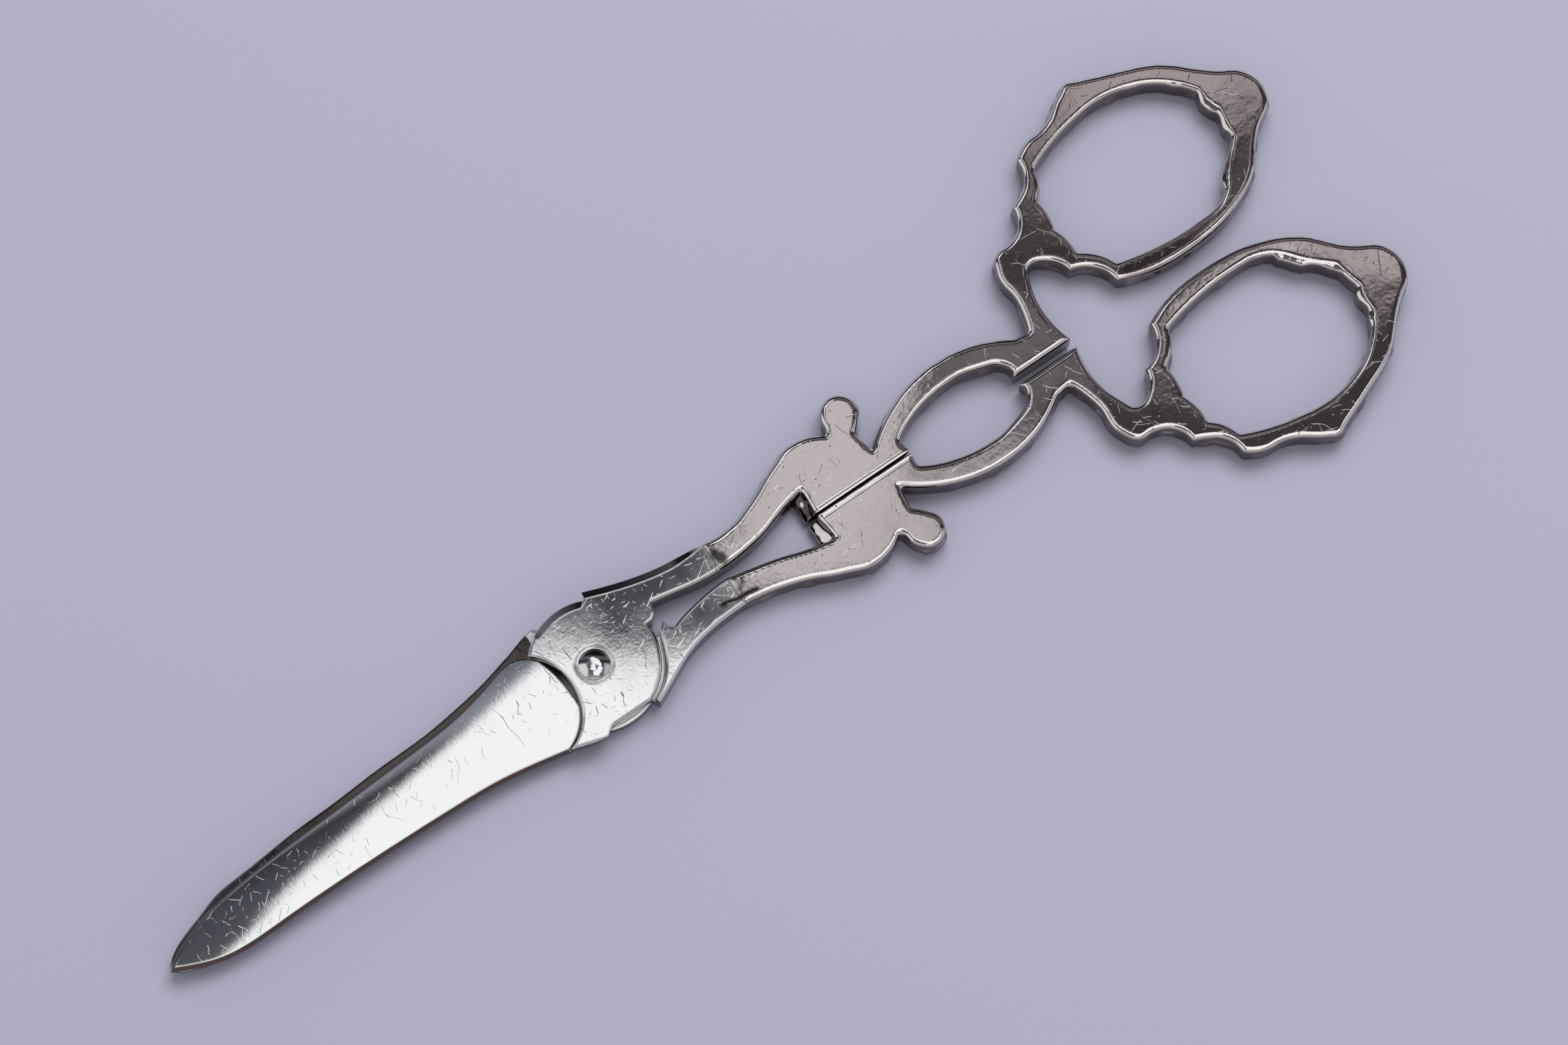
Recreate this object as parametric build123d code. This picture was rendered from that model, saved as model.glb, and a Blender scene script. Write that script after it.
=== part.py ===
from build123d import *
import os
from math import hypot, radians

os.makedirs("parts", exist_ok=True)

# Grape shears, closed, lying on their ornamented front with the plain back up.
# The pivot axis is Z, the bows point along +X and the tips along -X.
# The thumb half has its bow on the +Y side and its blade on top, at the back.
# The finger half is the thumb half turned over, with its own blade outline.

# Reaches from the pivot axis, and the bow's reach from the centre line
blade_reach = 64.3
handle_reach = 115.6
bow_reach = 29.6

# Neck, where a blade piece meets its handle
neck_reach = 20.0
neck_outer = 4.8
neck_inner = 0.7
neck_lift = 0.4
neck_step = 4.0

# Heights above the table
back_height = 3.6
front_height = 0.4
lap_gap = 0.06

# Lap joint
disc_radius = 8.45
shoulder_gap = 0.4
shoulder_angle = 65.5
lip_share = 8.0
flat_depth = 0.6

# Rivet
rivet_radius = 1.5
rivet_play = 0.04
head_radius = 2.1
head_height = 0.7
recess_gap = 0.3
recess_depth = 0.15
front_flat_radius = 1.2

# Gaps between the closed halves
stop_gap = 0.3
knee_gap = 1.2

# Edges and crowns
edge_bevel = 0.3
shortest_bevelled = 2.5
blade_bevel = 0.4
root_bevel_width = 1.2
root_bevel_depth = 0.5
crown_radius = 26.0
tip_thickness = 1.2
overrun = 5.0
percent = 0.01
straight_share = 0.001

mid_height = (back_height + front_height) / 2
half_thickness = (back_height - front_height) / 2
lap_face = lap_gap / 2
shoulder_radius = disc_radius + shoulder_gap

neck_to_end = handle_reach - neck_reach
shoulder_to_neck = neck_reach - shoulder_radius

# Points of the handle, in hundredths of its length from the neck and of the bow's reach
neck_lobe_shares = [
    (4.2, 17.2), (8.3, 21.3), (12.6, 27.7), (17.5, 32.6), (19.8, 31.2), (21.7, 28.2), (22.1, 27.3),
    (22.4, 28.6), (22.7, 33.8), (25.6, 40.5), (27.9, 32.8), (26.4, 23.5), (25.4, 20.6),
]
arm_outer_shares = [(25.9, 10.1), (30.8, 20.6), (39.2, 27.2), (47.3, 22.0), (50.5, 16.0)]
first_scroll_shares = [
    (52.7, 15.0), (53.9, 27.7), (54.1, 44.6), (55.7, 52.2), (58.0, 53.0), (59.9, 55.6), (61.4, 65.9),
]
second_scroll_shares = [(61.4, 65.9), (63.1, 68.4), (64.8, 72.1), (65.9, 82.4)]
bow_outer_shares = [
    (65.9, 82.4), (67.2, 85.5), (72.6, 89.9), (76.3, 97.6), (77.9, 100.0), (79.6, 97.8), (84.5, 91.7),
    (89.7, 84.5), (95.2, 68.9), (99.4, 57.1), (100.0, 50.7), (99.5, 43.9), (94.9, 31.4), (90.4, 16.2),
    (84.8, 8.1), (77.4, 5.1), (70.4, 7.4), (66.6, 12.0),
]
third_scroll_shares = [(66.6, 12.0), (66.3, 17.2), (64.8, 23.8), (62.3, 27.5)]
fourth_scroll_shares = [(62.3, 27.5), (60.8, 36.3), (58.2, 39.0), (57.0, 32.4), (56.1, 12.8)]
knee_share = 56.8
curl_share = 47.2
arm_inner_shares = [(47.6, 4.8), (47.3, 7.4), (43.2, 14.5), (37.1, 15.4), (29.7, 6.8)]
plate_shares = (29.9, 14.5)
neck_inner_shares = [(14.9, 12.8), (12.8, 11.5), (6.8, 5.7)]

# Points of the finger hole's rim, stretch by stretch between its cusps
hole_shares = [
    [(63.9, 47.1), (64.6, 38.4), (64.4, 32.0)],
    [(64.4, 32.0), (66.5, 26.8), (68.0, 18.1)],
    [(68.0, 18.1), (74.8, 13.6), (78.7, 12.7), (85.6, 15.9), (89.7, 29.7), (92.1, 37.0)],
    [(92.1, 37.0), (92.4, 44.1), (92.9, 50.7)],
    [(92.9, 50.7), (92.3, 56.3), (92.2, 63.1)],
    [(92.2, 63.1), (89.0, 75.1), (81.6, 85.0), (73.9, 83.0), (66.9, 75.4)],
    [(66.9, 75.4), (66.1, 68.5), (64.4, 62.5)],
    [(64.4, 62.5), (64.6, 55.0), (63.9, 47.1)],
]

# Points of each arm, in hundredths of its length from the shoulder and of the disc's radius
arm_shares = {
    "thumb": {
        "outer": [(6.7, 80.0), (39.0, 70.0), (69.5, 65.0)],
        "inner": [(73.1, 15.0), (40.8, 23.0), (13.9, 29.5)],
        "horn": [(13.9, 29.5), (9.4, 14.0), (3.1, 8.0)],
    },
    "finger": {
        "outer": [(-5.8, 79.0), (16.6, 66.0), (39.9, 58.0), (70.4, 53.0)],
        "inner": [(77.6, 4.5), (52.5, 9.0), (33.6, 14.0), (18.4, 21.0)],
        "horn": [(18.4, 21.0), (13.9, 16.0), (11.6, 3.0), (4.0, 14.0)],
    },
}
arm_start_angle = {"thumb": 4.0, "finger": 18.0}

# Points of each blade, in hundredths of the blade's reach and of the disc's radius
blade_shares = {
    "thumb": {
        "edge": [
            (-100.0, -26.0), (-97.0, -8.0), (-93.3, 4.0), (-88.6, 16.5), (-84.0, 23.5), (-74.7, 31.0),
            (-65.3, 35.5), (-56.0, 39.0), (-46.7, 43.0), (-37.3, 46.5), (-28.0, 53.0), (-18.2, 70.5),
        ],
        "spine": [
            (-13.4, -87.5), (-18.2, -80.5), (-28.0, -68.5), (-37.3, -64.0), (-51.3, -60.5), (-65.3, -59.0),
            (-77.8, -60.0), (-85.5, -60.0), (-91.0, -54.0), (-95.7, -41.5), (-100.0, -26.0),
        ],
    },
    "finger": {
        "edge": [
            (-100.0, 21.0), (-99.0, 29.5), (-95.7, 41.5), (-90.2, 53.5), (-84.0, 58.0), (-74.7, 54.5),
            (-65.3, 52.0), (-56.0, 51.0), (-46.7, 51.0), (-37.3, 53.0), (-28.0, 58.0), (-18.2, 71.0),
        ],
        "spine": [
            (-13.4, -87.5), (-16.5, -81.0), (-20.0, -74.5), (-27.0, -65.5), (-34.0, -59.0), (-46.7, -55.5),
            (-56.3, -50.5), (-65.6, -48.0), (-78.7, -39.0), (-85.2, -33.5), (-89.0, -23.5), (-92.8, -14.0),
            (-97.2, 1.0), (-100.0, 21.0),
        ],
    },
}
root_shares = [
    (-13.1, 77.0), (-9.3, 64.5), (-6.7, 36.5), (-5.7, -3.5), (-6.7, -42.5), (-9.6, -72.0), (-13.4, -87.5),
]
root_centre_shares = [(-17.2, -5.3)]
root_radius_share = 89.5

# Points of the blade's wing, which stops the opening, in hundredths of the disc's radius
wing_shares = [
    (-101.8, -87.0), (-65.0, -98.5), (-45.5, -102.4), (-31.4, -91.5), (-31.4, -50.0), (-101.8, -50.0),
]


def scaled(shares, reach, width, start=0):
    return [(start + along * percent * reach, across * percent * width) for along, across in shares]


def handle_points(shares):
    return scaled(shares, neck_to_end, bow_reach, neck_reach)


def arm_points(half, stretch):
    return scaled(arm_shares[half][stretch], shoulder_to_neck, disc_radius, shoulder_radius)


# A smooth curve of arcs through the points: each point takes the direction
# of the circle through it and its neighbours, and two arcs join each pair.
def smooth_curve(points):
    spots = [Vector(*point) for point in points]
    spans = [after - before for before, after in zip(spots, spots[1:])]
    ways = [
        (before / before.length**2 + after / after.length**2).normalized()
        for before, after in zip(spans, spans[1:])
    ]
    first = spans[0].normalized()
    last = spans[-1].normalized()
    if ways:
        first = first * 2 * first.dot(ways[0]) - ways[0]
        last = last * 2 * last.dot(ways[-1]) - ways[-1]
    ways = [first] + ways + [last]
    curve = []
    for start, end, leaving, arriving in zip(spots, spots[1:], ways, ways[1:]):
        curve += arc_pair(start, end, leaving, arriving)
    return curve


def arc_pair(start, end, leaving, arriving):
    chord = end - start
    slope = chord.dot(leaving + arriving)
    spread = 2 - 2 * leaving.dot(arriving)
    reach = chord.length**2 / (slope + (slope**2 + spread * chord.length**2) ** 0.5)
    middle = (start + end + (leaving - arriving) * reach) / 2
    turn = (chord - (leaving + arriving) * reach).normalized()
    return [arc_or_line(start, middle, leaving), arc_or_line(middle, end, turn)]


def arc_or_line(start, end, way):
    chord = end - start
    if abs(way.cross(chord).Z) < straight_share * chord.length:
        return Line(start, end)
    return TangentArc(start, end, tangent=way)


def face_edges(body, direction):
    face = body.faces().sort_by(direction)[-1]
    return [edge for edge in face.edges() if edge.center().X > neck_reach + lap_gap]


def joint_edges(body, direction):
    face = body.faces().filter_by(Axis.Z).sort_by(direction)[-1]
    edges = [edge for edge in face.edges() if edge.length > shortest_bevelled]
    edges = [edge for edge in edges if edge.center().X < neck_reach - lap_gap]
    return [edge for edge in edges if hypot(edge.center().X, edge.center().Y) > disc_radius - 2 * flat_depth]


def handle_outline(lift):
    knee_tip = (neck_reach + knee_share * percent * neck_to_end, knee_gap / 2)
    curl_tip = (neck_reach + curl_share * percent * neck_to_end, knee_gap / 2)
    plate = [(neck_reach + share * percent * neck_to_end, stop_gap / 2) for share in plate_shares]
    neck_lobe = handle_points(neck_lobe_shares)
    arm_outer = handle_points(arm_outer_shares)
    first_scroll = handle_points(first_scroll_shares)
    arm_inner = handle_points(arm_inner_shares)
    neck_inside = handle_points(neck_inner_shares)
    outer_end = (neck_reach, neck_outer + lift)
    inner_end = (neck_reach, neck_inner + lift)
    return make_face(
        smooth_curve([outer_end, *neck_lobe])
        + [Line(neck_lobe[-1], arm_outer[0])]
        + smooth_curve(arm_outer)
        + [Line(arm_outer[-1], first_scroll[0])]
        + smooth_curve(first_scroll)
        + smooth_curve(handle_points(second_scroll_shares))
        + smooth_curve(handle_points(bow_outer_shares))
        + smooth_curve(handle_points(third_scroll_shares))
        + smooth_curve([*handle_points(fourth_scroll_shares), knee_tip])
        + [Line(knee_tip, curl_tip)]
        + smooth_curve([curl_tip, *arm_inner])
        + [Polyline(arm_inner[-1], *plate, neck_inside[0])]
        + smooth_curve([*neck_inside, inner_end])
        + [Line(inner_end, outer_end)]
    )


# The finger hole's cutter: a throat that flares to the rim at both faces
def finger_hole():
    rim = []
    for stretch in hole_shares:
        rim += smooth_curve(handle_points(stretch))
    half_throat = back_height / 2 - edge_bevel
    flare = Pos(0, 0, half_throat) * extrude(make_face(rim), overrun)
    flare = chamfer(flare.faces().sort_by(Axis.Z)[0].edges(), edge_bevel)
    throat = extrude(flare.faces().sort_by(Axis.Z)[0], half_throat)
    upper = flare + throat
    return Pos(0, 0, back_height / 2) * (upper + mirror(upper, Plane.XY))


def handle(lift):
    body = extrude(handle_outline(lift), back_height)
    body = chamfer(face_edges(body, Axis.Z), edge_bevel)
    body = chamfer(face_edges(body, -Axis.Z), edge_bevel)
    step = Pos(neck_reach, 0, 0) * Box(2 * neck_step, 2 * bow_reach, 2 * front_height)
    return body - finger_hole() - step


def arm_outline(half, lift, through_pivot):
    start = arm_start_angle[half]
    arc = CenterArc((0, 0), shoulder_radius, start, shoulder_angle - start)
    lip = (arc @ 1) * (1 + lip_share * percent)
    horn = arm_points(half, "horn")
    outer_end = (neck_reach, neck_outer + lift)
    inner_end = (neck_reach, neck_inner + lift)
    outside = Spline(lip, *arm_points(half, "outer"), outer_end)
    inside = Spline(inner_end, *arm_points(half, "inner"))
    if through_pivot:
        root = [Polyline(horn[-1], (0, 0), lip)]
    else:
        root = [Line(horn[-1], arc @ 0), arc, Line(arc @ 1, lip)]
    return make_face([outside, Line(outer_end, inner_end), inside, Polyline(*horn)] + root)


def blade_outline(half):
    edge = scaled(blade_shares[half]["edge"], blade_reach, disc_radius)
    spine = scaled(blade_shares[half]["spine"], blade_reach, disc_radius)
    root = scaled(root_shares, blade_reach, disc_radius)
    return make_face([Spline(*edge, *root), Spline(*spine)])


def disc_outline():
    flat_edge = disc_radius - flat_depth
    flat = Pos(0, -flat_edge - overrun / 2) * Rectangle(2 * disc_radius, overrun)
    wing = make_face(Polyline(*scaled(wing_shares, disc_radius, disc_radius), close=True))
    return Circle(disc_radius) - flat + wing


def crowned_blade(half):
    body = Pos(0, 0, lap_face) * extrude(blade_outline(half), half_thickness)
    fall = half_thickness - tip_thickness
    crown = Cylinder(crown_radius, 2 * blade_reach + 2 * overrun, rotation=(0, 90, 0))
    tilt = Rot(0, -fall / blade_reach / radians(1), 0)
    crown = tilt * Pos(0, 0, half_thickness - crown_radius) * crown
    body = body & crown
    crown_face = body.faces().filter_by(GeomType.PLANE, reverse=True).sort_by(Axis.Z)[-1]
    body = chamfer(crown_face.edges(), blade_bevel)
    return body & root_keeper()


def root_keeper():
    centre = scaled(root_centre_shares, blade_reach, disc_radius)[0]
    foot_radius = root_radius_share * percent * disc_radius
    slope = root_bevel_width / root_bevel_depth
    height = half_thickness
    top_radius = foot_radius - root_bevel_width
    bottom_radius = top_radius + slope * height
    cone = Pos(centre[0], centre[1], height / 2) * Cone(bottom_radius, top_radius, height)
    length = blade_reach + overrun
    rest = Pos(centre[0] - length / 2, 0, height / 2) * Box(length, 4 * disc_radius, height)
    return cone + rest


def blade_piece(half, lift):
    own_plan = disc_outline() + arm_outline(half, lift, True) - blade_outline(half)
    own_layer = Pos(0, 0, lap_face) * extrude(own_plan, half_thickness - lap_face)
    arm = Pos(0, 0, -half_thickness) * extrude(arm_outline(half, lift, False), 2 * half_thickness)
    joint = own_layer + arm
    joint = chamfer(joint_edges(joint, Axis.Z), edge_bevel)
    joint = chamfer(joint_edges(joint, -Axis.Z), edge_bevel)
    return joint + crowned_blade(half)


def bore(radius):
    return Cylinder(radius, 2 * back_height)


def recess():
    return Pos(0, 0, half_thickness) * Cylinder(head_radius + recess_gap, 2 * recess_depth)


def rivet():
    seat = back_height - recess_depth + rivet_play
    outline = Polyline(
        (0, seat + head_height),
        (0, 0),
        (front_flat_radius, 0),
        (head_radius, front_height),
        (rivet_radius, front_height),
        (rivet_radius, seat),
        (head_radius, seat),
    )
    dome = TangentArc((0, seat + head_height), (head_radius, seat), tangent=(1, 0))
    return revolve(Plane.XZ * make_face([outline, dome]), Axis.Z)


def save(shape, name):
    shape.label = name
    export_step(shape, "parts/" + name + ".step")


thumb_blade = blade_piece("thumb", neck_lift) - recess() - bore(rivet_radius + rivet_play)
finger_blade = Rot(180, 0, 0) * blade_piece("finger", -neck_lift) - bore(rivet_radius)
thumb_blade = Pos(0, 0, mid_height) * thumb_blade
finger_blade = Pos(0, 0, mid_height) * finger_blade
thumb_handle = handle(neck_lift)
finger_handle = mirror(handle(-neck_lift), Plane.XZ)
pivot_rivet = rivet()
save(thumb_blade, "thumb_blade")
save(finger_blade, "finger_blade")
save(thumb_handle, "thumb_handle")
save(finger_handle, "finger_handle")
save(pivot_rivet, "pivot_rivet")
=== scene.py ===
import math

import bpy
import numpy as np
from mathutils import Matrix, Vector, kdtree, noise


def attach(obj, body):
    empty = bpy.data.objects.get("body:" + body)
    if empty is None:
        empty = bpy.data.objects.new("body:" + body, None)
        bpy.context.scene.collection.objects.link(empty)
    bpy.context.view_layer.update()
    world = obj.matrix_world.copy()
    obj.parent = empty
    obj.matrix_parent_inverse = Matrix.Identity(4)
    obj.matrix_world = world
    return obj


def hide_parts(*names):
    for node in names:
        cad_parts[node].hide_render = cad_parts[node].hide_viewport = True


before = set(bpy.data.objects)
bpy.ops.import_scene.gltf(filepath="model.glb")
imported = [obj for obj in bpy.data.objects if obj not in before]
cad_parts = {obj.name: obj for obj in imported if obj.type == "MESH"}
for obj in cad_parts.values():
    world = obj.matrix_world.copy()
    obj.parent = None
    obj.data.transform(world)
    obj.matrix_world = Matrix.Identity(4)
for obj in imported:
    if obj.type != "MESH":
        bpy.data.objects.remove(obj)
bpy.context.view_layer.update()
print("frame loaded:", sorted(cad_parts))

millimetre = 0.001
degree = math.pi / 180


def srgb(code):
    channels = [int(code[i:i + 2], 16) / 255 for i in (1, 3, 5)]
    return tuple(c / 12.92 if c <= 0.04045 else ((c + 0.055) / 1.055) ** 2.4 for c in channels) + (1.0,)


def addNode(tree, kind, settings=None, **links):
    # settings are the node's own properties, and stops its colour ramp; links feed or fill
    # its sockets by name, with _ for a space, or by number, as i0
    node = tree.nodes.new(kind)
    for name, value in (settings or {}).items():
        if name == "stops":
            elements = node.color_ramp.elements
            while len(elements) < len(value):
                elements.new(0.5)
            for element, (place, colour) in zip(elements, value):
                element.position = place
                element.color = srgb(colour)
        else:
            setattr(node, name, value)
    for name, value in links.items():
        key = int(name[1:]) if name[0] == "i" and name[1:].isdigit() else name.replace("_", " ")
        socket = node.inputs[key]
        if isinstance(value, bpy.types.NodeSocket):
            tree.links.new(value, socket)
        else:
            socket.default_value = value
    return node


camera = {
    "lens": 100.0,
    "sensor": 36.0,
    "clipStart": 10.0 * millimetre,
    "azimuth": -35.2,  # degrees, seen from the tips' side
    "elevation": 72.4,
    "distance": 549 * millimetre,
    "target": (30.0 * millimetre, 1.5 * millimetre, 3.6 * millimetre),
}


def makeCamera(settings):
    azimuth = math.radians(settings["azimuth"])
    elevation = math.radians(settings["elevation"])
    level = math.cos(elevation)
    back = Vector((math.sin(azimuth) * level, -math.cos(azimuth) * level, math.sin(elevation)))
    data = bpy.data.cameras.new("tableCamera")
    data.lens = settings["lens"]
    data.sensor_width = settings["sensor"]
    data.clip_start = settings["clipStart"]
    tableCamera = bpy.data.objects.new("tableCamera", data)
    tableCamera.location = Vector(settings["target"]) + back * settings["distance"]
    tableCamera.rotation_mode = "QUATERNION"
    tableCamera.rotation_quaternion = (-back).to_track_quat("-Z", "Y")
    bpy.context.scene.collection.objects.link(tableCamera)
    bpy.context.scene.camera = tableCamera


makeCamera(camera)
bpy.context.scene.view_settings.view_transform = "Standard"
print("camera made")

studio = {
    "floorHalf": 3.0,
    "floorColour": "#B1B0C3",
    "floorRoughness": 0.9,
    "floorSpecular": 0.1,
    "backdrop": "#BCBBCA",
    "roomLevel": 0.55,
    "lampSize": (0.9, 0.7),
    "lampPlace": (0.55, 0.35, 1.0),
    "lampAim": (0.03, 0.0, 0.0),
    "lampWatts": 9.0,
    "farWay": (0.577, 0.817, 0.0),  # from the photographer over the table
    "rightWay": (0.817, -0.577, 0.0),
    # what polished metal sees from the near side over the zenith to the far side,
    # by the sine of the lean, from -1 at 0 to 1 at 1
    "roomDark": [
        (0.0, "#C0BCBE"), (0.10, "#B8B4B6"), (0.24, "#6A676A"), (0.60, "#484A51"), (0.67, "#38363A"),
        (0.73, "#353337"), (0.79, "#7C7A80"), (0.88, "#8E8C92"), (0.95, "#66646A"), (1.0, "#38363A"),
    ],
    # from cool on the left to warm on the right
    "warmth": [(0.0, "#FFFFFF"), (0.495, "#FDFEFF"), (0.515, "#FAF0F0"), (1.0, "#F4E8E8")],
    # the soft box, in degrees: its near and far limits in lean
    "boxNear": -38.0,
    "boxFar": 15.95,
    "boxEdge": 0.25,
    # left of this side, all of it lies further to the far side by the lift
    "boxLiftSide": -3.85,
    "boxLift": 17.0,
    "boxLiftEdge": 0.4,
    # its left edge: the side it has at one lean, and how fast it runs left both ways from its bend
    "boxLeft": -7.5,
    "boxLeftLean": 16.5,
    "boxLeftEdge": 0.7,
    "boxBend": -5.0,
    "boxSlant": 0.46,
    "boxRight": 30.0,
    "boxColour": "#FDFEFF",
    # pale cards, in degrees: side and lean of the middle, half sizes, soft edge, slant, and colour
    "cards": [
        (-17.5, 32.5, 6.5, 10.0, 2.0, 0.0, "#80828C"),
        (-48.0, -12.0, 22.0, 26.0, 4.0, 0.0, "#DAD9DB"),
        (58.0, -14.0, 22.0, 30.0, 5.0, 0.0, "#B4B2B8"),
        (0.35, 18.7, 1.30, 1.95, 0.30, 0.0, "#C6C1C3"),
        (1.70, 17.2, 0.4, 0.8, 0.3, 0.0, "#BCB7B9"),
        (2.75, 17.9, 0.9, 0.7, 0.4, 0.0, "#B4B0B2"),
        (3.1, 19.8, 1.0, 0.5, 0.5, 0.0, "#6E6A70"),
        (3.3, 22.6, 0.5, 0.7, 0.5, 0.0, "#8A8284"),
        (4.65, 23.7, 1.20, 1.10, 0.30, 0.0, "#A89EA0"),
        (6.25, 23.6, 0.45, 0.75, 0.35, 0.0, "#A59C9E"),
        (6.05, 20.85, 1.05, 0.45, 0.30, 0.8, "#C4BBBD"),
        (7.7, 21.3, 0.75, 0.75, 0.4, 0.0, "#B4ABAD"),
    ],
}


def makeFloor(settings):
    half = settings["floorHalf"]
    corners = [(-half, -half, 0), (half, -half, 0), (half, half, 0), (-half, half, 0)]
    mesh = bpy.data.meshes.new("floor")
    mesh.from_pydata(corners, [], [(0, 1, 2, 3)])
    floor = bpy.data.objects.new("floor", mesh)
    bpy.context.scene.collection.objects.link(floor)
    material = bpy.data.materials.new("paleMattCard")
    material.use_nodes = True
    shader = material.node_tree.nodes["Principled BSDF"]
    shader.inputs["Base Color"].default_value = srgb(settings["floorColour"])
    shader.inputs["Roughness"].default_value = settings["floorRoughness"]
    shader.inputs["Specular IOR Level"].default_value = settings["floorSpecular"]
    mesh.materials.append(material)


def bandMask(tree, value, near, far, edge):
    # 1 between the two limits, with soft ends
    lower = addNode(tree, "ShaderNodeMapRange", {"interpolation_type": "SMOOTHSTEP"}, Value=value,
                    From_Min=near - edge, From_Max=near + edge).outputs[0]
    upper = addNode(tree, "ShaderNodeMapRange", {"interpolation_type": "SMOOTHSTEP"}, Value=value,
                    From_Min=far - edge, From_Max=far + edge, To_Min=1.0, To_Max=0.0).outputs[0]
    return addNode(tree, "ShaderNodeMath", {"operation": "MULTIPLY"}, i0=lower, i1=upper).outputs[0]


def putCard(tree, room, leanMask, sideMask, colour):
    mask = addNode(tree, "ShaderNodeMath", {"operation": "MULTIPLY"},
                   i0=leanMask, i1=sideMask).outputs[0]
    return addNode(tree, "ShaderNodeMix", {"data_type": "RGBA"},
                   i0=mask, i6=room, i7=srgb(colour)).outputs[2]


def putSoftBox(tree, room, lean, side, settings):
    liftSide = settings["boxLiftSide"]
    liftEdge = settings["boxLiftEdge"]
    lift = addNode(tree, "ShaderNodeMapRange", {"interpolation_type": "SMOOTHSTEP"}, Value=side,
                   From_Min=(liftSide - liftEdge) * degree, From_Max=(liftSide + liftEdge) * degree,
                   To_Min=settings["boxLift"] * degree, To_Max=0.0).outputs[0]
    lowered = addNode(tree, "ShaderNodeMath", {"operation": "SUBTRACT"}, i0=lean, i1=lift).outputs[0]
    leanMask = bandMask(tree, lowered, math.sin(settings["boxNear"] * degree),
                        math.sin(settings["boxFar"] * degree), settings["boxEdge"] * degree)
    bend = math.sin(settings["boxBend"] * degree)
    fromBend = addNode(tree, "ShaderNodeMath", {"operation": "SUBTRACT"}, i0=lean, i1=bend).outputs[0]
    fromBend = addNode(tree, "ShaderNodeMath", {"operation": "ABSOLUTE"}, i0=fromBend).outputs[0]
    slanted = addNode(tree, "ShaderNodeMath", {"operation": "MULTIPLY_ADD"},
                      i0=fromBend, i1=settings["boxSlant"], i2=side).outputs[0]
    run = math.sin(settings["boxLeftLean"] * degree) - bend
    left = settings["boxLeft"] * degree + settings["boxSlant"] * run
    sideMask = bandMask(tree, slanted, left, settings["boxRight"] * degree,
                        settings["boxLeftEdge"] * degree)
    return putCard(tree, room, leanMask, sideMask, settings["boxColour"])


def makeWorld(settings):
    world = bpy.data.worlds.new("studioRoom")
    bpy.context.scene.world = world
    world.use_nodes = True
    tree = world.node_tree
    tree.nodes.clear()
    way = addNode(tree, "ShaderNodeTexCoord").outputs["Generated"]
    lean = addNode(tree, "ShaderNodeVectorMath", {"operation": "DOT_PRODUCT"},
                   i0=way, i1=settings["farWay"]).outputs["Value"]
    side = addNode(tree, "ShaderNodeVectorMath", {"operation": "DOT_PRODUCT"},
                   i0=way, i1=settings["rightWay"]).outputs["Value"]
    leanPlace = addNode(tree, "ShaderNodeMath", {"operation": "MULTIPLY_ADD"},
                        i0=lean, i1=0.5, i2=0.5).outputs[0]
    sidePlace = addNode(tree, "ShaderNodeMath", {"operation": "MULTIPLY_ADD"},
                        i0=side, i1=0.5, i2=0.5).outputs[0]
    room = addNode(tree, "ShaderNodeValToRGB", {"stops": settings["roomDark"]}, Fac=leanPlace).outputs[0]
    warmth = addNode(tree, "ShaderNodeValToRGB", {"stops": settings["warmth"]}, Fac=sidePlace).outputs[0]
    room = addNode(tree, "ShaderNodeMix", {"data_type": "RGBA", "blend_type": "MULTIPLY"},
                   i0=1.0, i6=room, i7=warmth).outputs[2]
    for sideMiddle, leanMiddle, halfSide, halfLean, edge, slant, colour in settings["cards"]:
        turned = addNode(tree, "ShaderNodeMath", {"operation": "MULTIPLY_ADD"},
                         i0=side, i1=-slant, i2=lean).outputs[0]
        middle = math.sin(leanMiddle * degree) - slant * sideMiddle * degree
        leanMask = bandMask(tree, turned, middle - halfLean * degree, middle + halfLean * degree,
                            edge * degree)
        sideMask = bandMask(tree, side, (sideMiddle - halfSide) * degree,
                            (sideMiddle + halfSide) * degree, edge * degree)
        room = putCard(tree, room, leanMask, sideMask, colour)
    room = putSoftBox(tree, room, lean, side, settings)
    ray = addNode(tree, "ShaderNodeLightPath")
    glossy = addNode(tree, "ShaderNodeBackground", Color=room, Strength=1.0).outputs[0]
    plain = addNode(tree, "ShaderNodeBackground", Color=(1, 1, 1, 1),
                    Strength=settings["roomLevel"]).outputs[0]
    backdrop = addNode(tree, "ShaderNodeBackground", Color=srgb(settings["backdrop"]),
                       Strength=1.0).outputs[0]
    mixed = addNode(tree, "ShaderNodeMixShader",
                    i0=ray.outputs["Is Glossy Ray"], i1=plain, i2=glossy).outputs[0]
    mixed = addNode(tree, "ShaderNodeMixShader",
                    i0=ray.outputs["Is Camera Ray"], i1=mixed, i2=backdrop).outputs[0]
    addNode(tree, "ShaderNodeOutputWorld", Surface=mixed)


def makeLamp(settings):
    data = bpy.data.lights.new("overheadSoftbox", "AREA")
    data.shape = "RECTANGLE"
    data.size, data.size_y = settings["lampSize"]
    data.energy = settings["lampWatts"]
    lamp = bpy.data.objects.new("overheadSoftbox", data)
    lamp.location = settings["lampPlace"]
    aim = Vector(settings["lampAim"]) - lamp.location
    lamp.rotation_mode = "QUATERNION"
    lamp.rotation_quaternion = aim.to_track_quat("-Z", "Y")
    lamp.visible_glossy = False
    bpy.context.scene.collection.objects.link(lamp)


makeFloor(studio)
makeWorld(studio)
makeLamp(studio)
print("studio made")

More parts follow.
